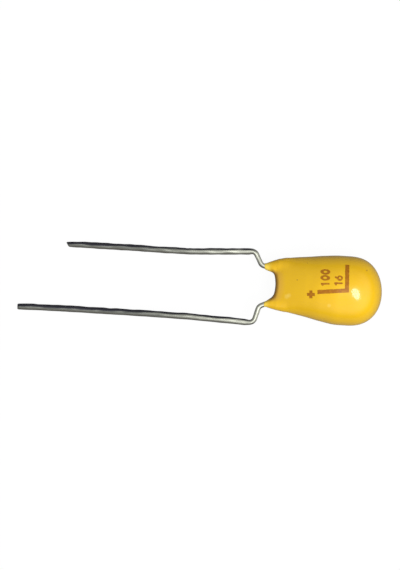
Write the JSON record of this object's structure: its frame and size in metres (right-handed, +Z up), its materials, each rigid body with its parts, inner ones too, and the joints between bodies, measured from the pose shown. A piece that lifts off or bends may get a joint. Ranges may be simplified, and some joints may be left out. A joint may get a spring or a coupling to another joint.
{
  "type": "tantalum capacitor",
  "caption": "Radial dipped tantalum capacitor: a golden epoxy bead with two drawn-out horns, and two crimped wire leads of unequal length.",
  "frame": {"origin": "on the surface it lies on, below the middle of the whole part", "axes": "+X runs from the lead tips to the crown of the coat, +Y points to the side of the negative lead, +Z is up, as it lies on the belly of its coat and both lead tips"},
  "size_m": [0.0286, 0.006, 0.0049],
  "materials": {
    "golden_epoxy": "glossy dipped epoxy, golden yellow, with soft pits and small specks",
    "tinned_wire": "tinned wire, satin grey, slightly dented and oxidised",
    "marking_ink": "matt brown printing ink",
    "tantalum_wire": "drawn tantalum wire, dark grey",
    "washer_plastic": "white fluoropolymer",
    "sintered_tantalum": "porous sintered metal, matt dark grey",
    "manganese_dioxide": "fired oxide, matt black",
    "graphite": "carbon coat, matt black-grey",
    "silver_paint": "conductive silver paint, matt light grey",
    "solder": "dipped solder, bright satin grey"
  },
  "bodies": {
    "root": {"epoxy_coat": "golden_epoxy", "positive_lead": "tinned_wire", "negative_lead": "tinned_wire", "riser_wire": "tantalum_wire", "insulating_washer": "washer_plastic", "anode_pellet": "sintered_tantalum", "manganese_dioxide_layer": "manganese_dioxide", "graphite_layer": "graphite", "silver_layer": "silver_paint", "solder_joint": "solder"}
  },
  "joints": []
}
